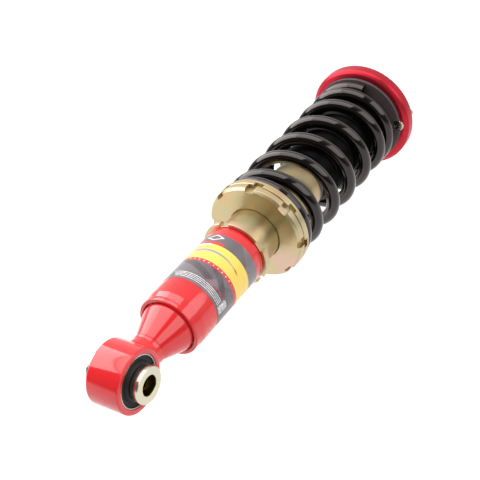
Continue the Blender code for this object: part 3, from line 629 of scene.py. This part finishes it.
def notched_ring(name, layers, inner, notches, phase, width, floor, material, blind=None):
    """A ring whose rim has square notches. Layers are (x, outer radius) from its low face to its high one.

    A blind notch runs from the low face up to the X given, and its roof closes it.
    """
    half = width / 2
    reach = max(radius for _, radius in layers)
    angles = []
    for number in range(notches):
        middle = phase + TAU * number / notches
        edge = math.asin(half / reach)
        steps = RING_STEPS // notches
        start, stop = middle + edge, middle + TAU / notches - edge
        for step in range(steps + 1):
            angles.append((start + (stop - start) * step / steps, middle, 0))
        following = middle + TAU / notches
        for share in (-1.0, -0.34, 0.34, 1.0):
            angles.append((following + share * edge, following, share))

    def outer_place(entry, radius, notched):
        angle, middle, share = entry
        if share == 0 or not notched:
            return Vector((0, radius * math.cos(angle), radius * math.sin(angle)))
        side = Vector((0, -math.sin(middle), math.cos(middle)))
        out = Vector((0, math.cos(middle), math.sin(middle)))
        return out * min(floor, radius) + side * half * share

    shape = bmesh.new()
    outer_rows = []
    for along, radius in layers:
        if blind is not None and along > blind:
            outer_rows.append([X_AXIS * along + outer_place(entry, radius, False) for entry in angles])
            continue
        outer_rows.append([X_AXIS * along + outer_place(entry, radius, True) for entry in angles])
        if blind is not None and along == blind:
            outer_rows.append([X_AXIS * along + outer_place(entry, radius, False) for entry in angles])
    inner_rows = [
        [X_AXIS * along + Vector((0, math.cos(entry[0]), math.sin(entry[0]))) * radius for entry in angles]
        for along, radius in reversed(inner)
    ]
    rows = [[shape.verts.new(place) for place in row] for row in outer_rows + inner_rows]
    count = len(angles)
    for near, far in zip(rows, rows[1:] + rows[:1]):
        for step in range(count):
            after = (step + 1) % count
            corners = [near[step], near[after], far[after], far[step]]
            first_gap = (corners[0].co - corners[3].co).length
            second_gap = (corners[1].co - corners[2].co).length
            if max(first_gap, second_gap) >= 1e-9:
                shape.faces.new(corners)
    bmesh.ops.remove_doubles(shape, verts=shape.verts, dist=2e-6)
    bmesh.ops.dissolve_degenerate(shape, edges=shape.edges, dist=2e-6)
    return finish_mesh(name, shape, material)


def span(node):
    """The lowest and highest X of a CAD node."""
    low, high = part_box(node)
    return low.x, high.x


def rim(node):
    """The largest radius of a CAD node that is round about the X axis."""
    low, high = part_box(node)
    return max(high.y, high.z, -low.y, -low.z)


# ---------------------------------------------------------------- lower eye


def make_eye():
    """Eye ring and saddle as one casting, with the saddle waisted just above the ring."""
    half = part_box("eye_housing")[1].y
    radius = 26.8 * MM
    bore = 22.0 * MM
    edge = 1.7 * MM
    outline = rounded(pipe(-half, half, bore, radius), (0.5 * MM, edge, edge, 0.5 * MM), 5)
    eye = turned("eye_ring", outline, PAINT, "Y", 192)

    top = span("eye_housing")[1]
    profile = [
        (bore + 1.0 * MM, 0.0),
        (bore + 1.0 * MM, 14.9 * MM),
        (25.6 * MM, 14.9 * MM),
        (28.2 * MM, 14.4 * MM),
        (30.6 * MM, 14.35 * MM),
        (top, 14.6 * MM),
        (top, 0.0),
    ]
    profile = rounded(profile, (0, 0, 1.5 * MM, 1.2 * MM, 1.5 * MM, 0.7 * MM, 0), 4)
    saddle = turned("eye_saddle", profile, PAINT, "X", 128, closed=False)
    modifier = eye.modifiers.new("saddle", "BOOLEAN")
    modifier.operation = "UNION"
    modifier.object = saddle
    modifier.solver = "EXACT"
    apply_modifiers(eye)
    bpy.data.objects.remove(saddle, do_unlink=True)
    on_body(eye, "lower_mount", "red_powder_coat", "eye_housing")


def make_bush():
    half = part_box("bush_outer_shell")[1].y
    outer = 21.7 * MM
    wall = 0.8 * MM
    edge = 0.3 * MM
    outline = rounded(pipe(-half, half, outer - wall, outer), [edge] * 4, 2)
    on_body(turned("bush_shell", outline, STEEL, "Y", 160), "lower_mount", "bare_steel", "bush_outer_shell")

    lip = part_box("bush_rubber")[1].y
    inner = 12.5 * MM
    rim_radius = outer - wall - 0.2 * MM
    right = [
        (12.9 * MM, rim_radius),
        (13.3 * MM, rim_radius - 1.3 * MM),
        (12.2 * MM, 18.6 * MM),
        (12.4 * MM, 17.0 * MM),
        (14.2 * MM, 16.2 * MM),
        (14.8 * MM, 15.7 * MM),
        (lip, 15.2 * MM),
        (lip, inner),
    ]
    left = [(-along, radius) for along, radius in reversed(right)]
    sizes = [0.3 * MM, 0.5 * MM, 1.2 * MM, 0.7 * MM, 0.3 * MM, 0.3 * MM, 0.6 * MM, 0]
    outline = rounded(left + right, sizes[::-1] + sizes, 3)
    on_body(turned("bush_block", outline, RUBBER, "Y", 160), "lower_mount", "black_rubber", "bush_rubber")


def make_sleeve():
    """The inner sleeve, and the stepped spacers."""
    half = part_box("eye_sleeve")[1].y
    bore = 8.3 * MM
    outline = rounded(pipe(-half, half, bore, 12.2 * MM), [0.2 * MM] * 4, 2)
    on_body(turned("sleeve_tube", outline, PALE_ZINC, "Y", 96), "bush_sleeve", "pale_zinc", "eye_sleeve")
    for node, side in (("eye_spacer_left", -1), ("eye_spacer_right", 1)):
        low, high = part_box(node)
        start = min(abs(low.y), abs(high.y))
        end = max(abs(low.y), abs(high.y))
        step = 20.5 * MM
        outline = [
            (side * start, bore),
            (side * start, 13.8 * MM),
            (side * step, 13.8 * MM),
            (side * step, 15.2 * MM),
            (side * end, 15.2 * MM),
            (side * end, bore),
        ]
        sizes = (0.2 * MM, 0.2 * MM, 0.5 * MM, 0.8 * MM, 0.9 * MM, 0.9 * MM)
        spacer = turned(node + "_ring", rounded(outline, sizes, 3), PALE_ZINC, "Y", 128)
        on_body(spacer, "bush_sleeve", "pale_zinc", node)


# ---------------------------------------------------------------- cone and socket


def make_cone():
    low, high = span("mount_cone")
    outline = [
        (low, 0.0),
        (low, 13.8 * MM),
        (41.5 * MM, 16.6 * MM),
        (57.5 * MM, 22.9 * MM),
        (61.5 * MM, 23.6 * MM),
        (61.5 * MM, 21.9 * MM),
        (65.0 * MM, 21.9 * MM),
        (65.0 * MM, 25.0 * MM),
        (high, 25.0 * MM),
        (high, 16.6 * MM),
        (57.5 * MM, 13.6 * MM),
        (57.5 * MM, 0.0),
    ]
    sizes = (0, 0.6 * MM, 2.5 * MM, 1.5 * MM, 0.5 * MM, 0.3 * MM, 0, 0.3 * MM, 0.3 * MM, 0, 0, 0)
    cone = turned("cone", rounded(outline, sizes, 4), PAINT, "X", 160, closed=False)
    on_body(cone, "lower_mount", "red_powder_coat", "mount_cone")


def make_socket():
    low, high = span("socket_body")
    bore = THREAD_BORE
    lip = 24.4 * MM
    radius = rim("socket_body")
    outline = [
        (low, lip),
        (low, 27.5 * MM),
        (64.9 * MM, 27.6 * MM),
        (71.2 * MM, radius),
        (high, radius),
        (high, bore),
        (63.6 * MM, bore),
        (62.8 * MM, lip),
    ]
    sizes = (0.5 * MM, 0.9 * MM, 0.5 * MM, 0.7 * MM, 0.7 * MM, 0.3 * MM, 0, 0)
    socket = turned("socket", rounded(outline, sizes, 4), PAINT, "X", 192)
    on_body(socket, "lower_mount", "red_powder_coat", "socket_body")


def make_label():
    """The vinyl band, which lies 0.03 mm off the socket's side."""
    low, high = LABEL_LOW.x, LABEL_HIGH.x
    inner = rim("socket_body") + 0.03 * MM
    outer = inner + 0.14 * MM
    start, stop = (math.radians(angle) for angle in LABEL_SPREAD)
    steps = 180
    shape = bmesh.new()
    rows = []
    for step in range(steps + 1):
        angle = start + (stop - start) * step / steps
        out = Vector((0, math.cos(angle), math.sin(angle)))
        corners = ((low, inner), (low, outer), (high, outer), (high, inner))
        rows.append([shape.verts.new(X_AXIS * along + out * radius) for along, radius in corners])
    for near, far in zip(rows, rows[1:]):
        for side in range(4):
            after = (side + 1) % 4
            shape.faces.new((near[side], near[after], far[after], far[side]))
    shape.faces.new(rows[0])
    shape.faces.new(rows[-1])
    on_body(finish_mesh("label", shape, LABEL), "lower_mount", "grey_vinyl", "label_wrap")


# ---------------------------------------------------------------- threaded rings

BORE_CHAMFER = 0.5 * MM

# The notches that the perch and its lock ring share: how wide, and how far out their floor is
NOTCH_WIDTH = 8.6 * MM
NOTCH_FLOOR = 42.8 * MM


def chamfered_bore(low, high):
    """A threaded bore's outline, with a chamfer at each end."""
    return [
        (low, THREAD_BORE + BORE_CHAMFER),
        (low + BORE_CHAMFER, THREAD_BORE),
        (high - BORE_CHAMFER, THREAD_BORE),
        (high, THREAD_BORE + BORE_CHAMFER),
    ]


def make_collar():
    low, high = span("body_lock_collar")
    radius = rim("body_lock_collar")
    edge = 0.6 * MM
    layers = [(low, radius - edge), (low + edge, radius), (high - edge, radius), (high, radius - edge)]
    inner = chamfered_bore(low, high)
    ring = notched_ring("collar", layers, inner, 5, math.radians(149), 9.6 * MM, 28.9 * MM, YELLOW_ZINC)
    add_bevel(ring, 0.25 * MM)
    on_body(ring, "lock_collar", "yellow_zinc", "body_lock_collar")


def make_lock_ring():
    low, high = span("perch_lock_ring")
    radius = rim("perch_lock_ring")
    layers = [
        (low, radius - 2.0 * MM),
        (low + 2.0 * MM, radius),
        (high - 0.6 * MM, radius),
        (high, radius - 0.6 * MM),
    ]
    inner = chamfered_bore(low, high)
    ring = notched_ring("lock_ring", layers, inner, 8, 0.0, NOTCH_WIDTH, NOTCH_FLOOR, YELLOW_ZINC)
    add_bevel(ring, 0.25 * MM)
    on_body(ring, "lock_ring", "yellow_zinc", "perch_lock_ring")


def make_perch():
    low, top = span("spring_perch")
    radius = rim("spring_perch")
    blind = low + 3.8 * MM
    flange = 212.0 * MM
    layers = [
        (low, radius - 0.4 * MM),
        (low + 0.4 * MM, radius),
        (blind, radius),
        (flange - 1.0 * MM, radius),
        (flange, radius - 1.0 * MM),
        (flange, 33.4 * MM),
        (flange + 0.6 * MM, 32.8 * MM),
        (top - 1.5 * MM, 32.8 * MM),
        (top, 31.3 * MM),
    ]
    inner = [
        (low, THREAD_BORE + BORE_CHAMFER),
        (low + BORE_CHAMFER, THREAD_BORE),
        (224.5 * MM, THREAD_BORE),
        (227.5 * MM, 28.3 * MM),
        (top, 29.3 * MM),
    ]
    ring = notched_ring(
        "perch", layers, inner, 8, math.radians(6), NOTCH_WIDTH, NOTCH_FLOOR, YELLOW_ZINC, blind=blind
    )
    add_bevel(ring, 0.2 * MM)
    on_body(ring, "perch", "yellow_zinc", "spring_perch")


# ---------------------------------------------------------------- spring and boot

WIRE_RADIUS = 6.1 * MM
COIL_RADIUS = 39.4 * MM
START_X = 215.95 * MM
START_ANGLE = math.radians(60)

# Stretches of wire from its lower end: turns, and the pitch at the stretch's two ends
SECTIONS = (
    (0.472, 4.0 * MM, 4.0 * MM),
    (0.490, 4.0 * MM, 33.14 * MM),
    (4.163, 33.14 * MM, 33.14 * MM),
    (1.0, 33.14 * MM, 12.6 * MM),
    (1.0, 12.6 * MM, 12.6 * MM),
)


def wire_x(turns):
    """The X of the wire's centre after a number of turns from its lower end."""
    place = START_X
    for length, first, last in SECTIONS:
        part = min(max(turns, 0.0), length)
        place += first * part + (last - first) / length * part * part / 2
        turns -= part
    return place


def make_spring():
    floor, ceiling = span("coil_spring")
    total = sum(section[0] for section in SECTIONS)
    steps = round(total * 56)
    sides = 20
    shape = bmesh.new()
    rings = []
    for step in range(steps + 1):
        turns = total * step / steps
        angle = START_ANGLE + TAU * turns
        out = Vector((0, math.cos(angle), math.sin(angle)))
        centre = X_AXIS * wire_x(turns) + out * COIL_RADIUS
        ring = []
        for side in range(sides):
            around = TAU * side / sides
            place = centre + WIRE_RADIUS * (math.cos(around) * out + math.sin(around) * X_AXIS)
            place.x = min(max(place.x, floor), ceiling)
            ring.append(shape.verts.new(place))
        rings.append(ring)
    for near, far in zip(rings, rings[1:]):
        for side in range(sides):
            after = (side + 1) % sides
            shape.faces.new((near[side], near[after], far[after], far[side]))
    shape.faces.new(rings[0])
    shape.faces.new(rings[-1])
    spring = finish_mesh("spring", shape, ENAMEL, 50.0)
    on_body(spring, "spring", "black_enamel", "coil_spring")
    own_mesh(spring)


def make_boot():
    """A bellows over the rod, whose pleats fold up below the plain sleeve that grips the upper seat."""
    low, high = span("dust_boot")
    crest = rim("dust_boot")
    valley = 24.5 * MM
    neck = 22.5 * MM
    wall = 1.2 * MM
    pitch = 15.25 * MM
    first = 301.0 * MM
    pleats = 6
    points = [(low, valley)]
    sizes = [0.0]
    for pleat in range(pleats):
        points.append((first + pitch * (pleat - 0.5), valley))
        points.append((first + pitch * pleat, crest))
        sizes += [2.2 * MM, 1.8 * MM]
    shoulder = 388.0 * MM
    points += [(first + pitch * (pleats - 0.5), valley), (shoulder, neck)]
    sizes += [1.0 * MM, 0.0]
    outside = rounded(points, sizes, 4)
    inside = [(along, radius - wall) for along, radius in reversed(outside)]
    boot = turned("boot", outside + inside, BOOT_RUBBER, "X", 96, smooth_angle=60.0)
    on_body(boot, "rod", "black_rubber", "dust_boot")
    outline = rounded(pipe(shoulder, high, neck - wall, neck), [0.3 * MM] * 4, 2)
    sleeve = turned("boot_sleeve", outline, BOOT_RUBBER, "X", 96)
    on_body(sleeve, "rod", "black_rubber", "dust_boot")
    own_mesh(boot)


def make_bump_stop():
    """A foam stop with three rolls."""
    low, high = span("bump_stop")
    bore = 6.3 * MM
    rolls = 3
    rows = 48
    outline = [(low, bore)]
    for row in range(rows + 1):
        share = row / rows
        radius = 14.5 - 2.0 * math.cos(TAU * rolls * share)
        outline.append((low + (high - low) * share, radius * MM))
    outline.append((high, bore))
    stop = turned("bump_rubber", outline, FOAM, "X", 72, smooth_angle=60.0)
    on_body(stop, "rod", "bump_foam", "bump_stop")


# ---------------------------------------------------------------- damper tube


def make_tube():
    low, high = span("damper_tube")
    radius = rim("damper_tube")
    bore = 22.0 * MM
    outline = rounded(pipe(low, high, bore, radius), [0.3 * MM, 1.0 * MM, 1.2 * MM, 0.3 * MM], 4)
    on_body(turned("tube", outline, YELLOW_ZINC, "X", 160), "damper", "yellow_zinc", "damper_tube")


def make_gland_cap():
    """A cap with a spigot inside the tube and a rounded brim over its end."""
    low, high = span("gland_cap")
    brim = span("damper_tube")[1] + 0.3 * MM
    bore = 6.3 * MM
    spigot = 21.7 * MM
    radius = 24.3 * MM
    outline = [(low, bore), (low, spigot), (brim, spigot), (brim, radius), (high, radius), (high, bore)]
    cap = turned("cap", rounded(outline, (0, 0.3 * MM, 0, 0.5 * MM, 1.8 * MM, 0.4 * MM), 4), BLACK, "X", 128)
    on_body(cap, "damper", "black_anodised", "gland_cap")


# ---------------------------------------------------------------- upper seat and top plate


def make_upper_seat():
    low, top = span("upper_spring_seat")
    plane = 405.6 * MM
    outline = [
        (low, 25.6 * MM),
        (low, 32.8 * MM),
        (plane, 32.8 * MM),
        (plane, 46.0 * MM),
        (top, 46.0 * MM),
        (top, 12.0 * MM),
        (404.8 * MM, 12.0 * MM),
        (404.8 * MM, 25.6 * MM),
    ]
    sizes = (0.5 * MM, 1.5 * MM, 0.6 * MM, 0.8 * MM, 0.5 * MM, 0.3 * MM, 0.3 * MM, 0)
    seat = turned("upper_seat", rounded(outline, sizes, 4), BLACK, "X", 160)
    cut_at_studs(seat, 5.9 * MM, plane - 2 * MM, top + 2 * MM)
    on_body(seat, "top_mount", "black_anodised", "upper_spring_seat")


def stud_centres():
    """The places of the studs, from their CAD nodes."""
    for node in ("mount_stud_1", "mount_stud_2"):
        low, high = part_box(node)
        yield node, (low.y + high.y) / 2, (low.z + high.z) / 2


def cut_at_studs(made, radius, low, high):
    """Drills a hole along X at each stud."""
    for _, y, z in stud_centres():
        drill = turned("drill", pipe(low, high, 0.0, radius), PAINT, "X", 40, closed=False)
        drill.data.transform(Matrix.Translation((0, y, z)))
        modifier = made.modifiers.new("drill", "BOOLEAN")
        modifier.operation = "DIFFERENCE"
        modifier.object = drill
        modifier.solver = "EXACT"
        apply_modifiers(made)
        bpy.data.objects.remove(drill, do_unlink=True)


def make_top_plate():
    low, high = span("top_plate")
    radius = rim("top_plate")
    outline = [
        (low, 13.0 * MM),
        (low, radius - 3.6 * MM),
        (412.0 * MM, radius),
        (high - 1.5 * MM, radius),
        (high, radius - 1.5 * MM),
        (high, 17.0 * MM),
        (411.2 * MM, 17.0 * MM),
        (411.2 * MM, 13.0 * MM),
    ]
    sizes = (0.3 * MM, 1.2 * MM, 1.2 * MM, 0.5 * MM, 0.5 * MM, 0.6 * MM, 0, 0.3 * MM)
    plate = turned("plate", rounded(outline, sizes, 4), ANODISED, "X", 192)
    cut_at_studs(plate, 4.2 * MM, low - 2 * MM, high + 2 * MM)
    on_body(plate, "top_mount", "red_anodised", "top_plate")


def make_studs():
    """Press-in studs: a domed head under the plate, and a thread over it."""
    for node, y, z in stud_centres():
        low, tip = span(node)
        head_top = low + 2.4 * MM
        head = 5.5 * MM
        crest = 3.85 * MM
        root = 3.30 * MM
        outline = [(low, 0.0), (low, head), (head_top, head), (head_top, crest)]
        outline = rounded(outline, (0, 0.8 * MM, 0.2 * MM, 0), 3)
        start = 424.0 * MM
        pitch = 1.25 * MM
        outline.append((start, crest))
        turns = int((tip - 1.0 * MM - start) / pitch)
        for turn in range(turns):
            along = start + pitch * turn
            outline.append((along + pitch * 0.30, crest))
            outline.append((along + pitch * 0.55, root))
            outline.append((along + pitch * 0.80, root))
            outline.append((along + pitch, crest))
        outline.append((tip - 0.7 * MM, crest))
        outline.append((tip, 3.2 * MM))
        outline.append((tip, 0.0))
        stud = turned(node + "_body", outline, PALE_ZINC, "X", 48, closed=False)
        stud.data.transform(Matrix.Translation((0, y, z)))
        on_body(stud, "top_mount", "pale_zinc", node)


def make_knob():
    """The adjuster knob, with shallow grips round its side."""
    low, high = span("damping_knob")
    radius = 7.2 * MM
    grips = 24
    shape = bmesh.new()
    rows = []
    sections = (
        (low, radius - 0.5 * MM, 0.0),
        (low + 0.5 * MM, radius, 0.0),
        (low + 2.0 * MM, radius, 0.0),
        (low + 2.6 * MM, radius, 0.45 * MM),
        (high - 1.4 * MM, radius, 0.45 * MM),
        (high - 0.4 * MM, radius - 0.9 * MM, 0.1 * MM),
        (high, radius - 1.6 * MM, 0.0),
    )
    count = grips * 6
    for along, outer, depth in sections:
        row = []
        for step in range(count):
            angle = TAU * step / count
            groove = depth * (0.5 - 0.5 * math.cos(grips * angle))
            reach = outer - groove
            row.append(shape.verts.new((along, reach * math.cos(angle), reach * math.sin(angle))))
        rows.append(row)
    for near, far in zip(rows, rows[1:]):
        for step in range(count):
            after = (step + 1) % count
            shape.faces.new((near[step], near[after], far[after], far[step]))
    shape.faces.new(rows[0])
    shape.faces.new(rows[-1])
    on_body(finish_mesh("knob", shape, ANODISED), "knob", "red_anodised", "damping_knob")


# ---------------------------------------------------------------- CAD nodes that stay as they are

KEPT = {
    "tube_base_plug": ALUMINIUM,
    "floating_piston": ALUMINIUM,
    "floating_piston_ring": RUBBER,
    "rod_guide": ALUMINIUM,
    "rod_seal": RUBBER,
    "piston_rod": CHROME,
    "piston": ALUMINIUM,
    "piston_band": PLASTIC,
    "rebound_shims": STEEL,
    "compression_shims": STEEL,
    "piston_nut": STEEL,
    "bearing_race": STEEL,
    "bearing_ball": CHROME,
    "bearing_circlip": STEEL,
    "rod_spacer": PALE_ZINC,
    "rod_washer": PALE_ZINC,
    "rod_nut": PALE_ZINC,
}


def finish_kept_nodes():
    for name, material in KEPT.items():
        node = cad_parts[name]
        node.data.materials.clear()
        node.data.materials.append(material)
        node.data.shade_smooth()
        node.data.set_sharp_from_angle(angle=math.radians(35))


# ---------------------------------------------------------------- stage

FLOOR_Z = -0.24
FLOOR_REACH = 8.0
AIM = Vector((0.2, 0, 0))
LIGHT_DISTANCE = 2.4

# Panels of light: name, angle round the damper and width in degrees, length, radiance, shift along X
SOFTBOXES = (
    ("softbox_far", 35.5, 46.5, 3.0, 4.3, -0.2),
    ("softbox_top", 83.5, 47.0, 3.0, 2.9, -0.2),
    ("softbox_near", 144.5, 37.0, 3.5, 2.3, 0.0),
)

# The room is dim on one side and bright on the other: the bright side's direction, then
# how far along it the light starts and stops rising, and its two strengths
BRIGHT_SIDE = (1.0, 0.25, 0.0)
RISE = (-0.3, 0.8)
STRENGTHS = (0.13, 1.0)

# The camera, fitted to the object's outlines
CAMERA_PLACE = (-0.3964, -0.4169, 0.5213)
CAMERA_FORWARD = (0.65381, 0.47694, -0.58742)
CAMERA_RIGHT = (0.51355, -0.84985, -0.11842)
CAMERA_LENS = 75.68
CAMERA_SHIFT = (-0.0019, -0.0011)


def make_floor():
    mesh = bpy.data.meshes.new("floor")
    signs = ((-1, -1), (1, -1), (1, 1), (-1, 1))
    corners = [(x * FLOOR_REACH, y * FLOOR_REACH, FLOOR_Z) for x, y in signs]
    mesh.from_pydata(corners, [], [(0, 1, 2, 3)])
    tree = Tree("pale_floor")
    tree.set(Base_Color=(0.66, 0.66, 0.66), Roughness=0.9, Specular_IOR_Level=0.1)
    mesh.materials.append(tree.material)
    floor = bpy.data.objects.new("floor", mesh)
    bpy.context.collection.objects.link(floor)


def make_softbox(name, turn, width, length, radiance, shift):
    """A long panel parallel to the damper, at an angle round it in degrees from +Y towards +Z."""
    angle = math.radians(turn)
    out = Vector((0, math.cos(angle), math.sin(angle)))
    light = bpy.data.lights.new(name, "AREA")
    light.shape = "RECTANGLE"
    light.size = length
    light.size_y = 2 * LIGHT_DISTANCE * math.tan(math.radians(width / 2))
    light.energy = radiance * math.pi * light.size * light.size_y
    panel = bpy.data.objects.new(name, light)
    panel.location = AIM + out * LIGHT_DISTANCE + X_AXIS * shift
    panel.rotation_mode = "QUATERNION"
    panel.rotation_quaternion = Matrix((X_AXIS, out.cross(X_AXIS), out)).transposed().to_quaternion()
    bpy.context.collection.objects.link(panel)
    panel.visible_camera = False


def make_world():
    """A pale room that is brighter beyond the object than on the near side."""
    world = bpy.data.worlds.new("room")
    bpy.context.scene.world = world
    world.use_nodes = True
    nodes, links = world.node_tree.nodes, world.node_tree.links
    background = nodes["Background"]
    background.inputs["Color"].default_value = (1.0, 1.0, 1.0, 1.0)
    direction = nodes.new("ShaderNodeTexCoord")
    dot = nodes.new("ShaderNodeVectorMath")
    dot.operation = "DOT_PRODUCT"
    dot.inputs[1].default_value = BRIGHT_SIDE
    links.new(direction.outputs["Generated"], dot.inputs[0])
    level = nodes.new("ShaderNodeMapRange")
    level.inputs["From Min"].default_value = RISE[0]
    level.inputs["From Max"].default_value = RISE[1]
    level.inputs["To Min"].default_value = STRENGTHS[0]
    level.inputs["To Max"].default_value = STRENGTHS[1]
    links.new(dot.outputs["Value"], level.inputs["Value"])
    links.new(level.outputs[0], background.inputs["Strength"])


def make_camera():
    data = bpy.data.cameras.new("camera")
    data.sensor_width = 36.0
    data.lens = CAMERA_LENS
    data.shift_x, data.shift_y = CAMERA_SHIFT
    data.clip_start = 0.01
    data.clip_end = 50.0
    camera = bpy.data.objects.new("camera", data)
    right = Vector(CAMERA_RIGHT).normalized()
    forward = Vector(CAMERA_FORWARD)
    forward = (forward - right * forward.dot(right)).normalized()
    up = right.cross(forward)
    camera.rotation_mode = "QUATERNION"
    camera.rotation_quaternion = Matrix((right, up, -forward)).transposed().to_quaternion()
    camera.location = CAMERA_PLACE
    bpy.context.collection.objects.link(camera)
    bpy.context.scene.camera = camera


def main():
    make_camera()
    make_eye()
    make_bush()
    make_sleeve()
    make_cone()
    make_socket()
    make_label()
    make_collar()
    make_lock_ring()
    make_perch()
    make_spring()
    make_boot()
    make_bump_stop()
    make_tube()
    make_gland_cap()
    make_upper_seat()
    make_top_plate()
    make_studs()
    make_knob()
    finish_kept_nodes()
    make_floor()
    make_world()
    for softbox in SOFTBOXES:
        make_softbox(*softbox)
    bpy.context.scene.view_settings.view_transform = "Standard"


main()
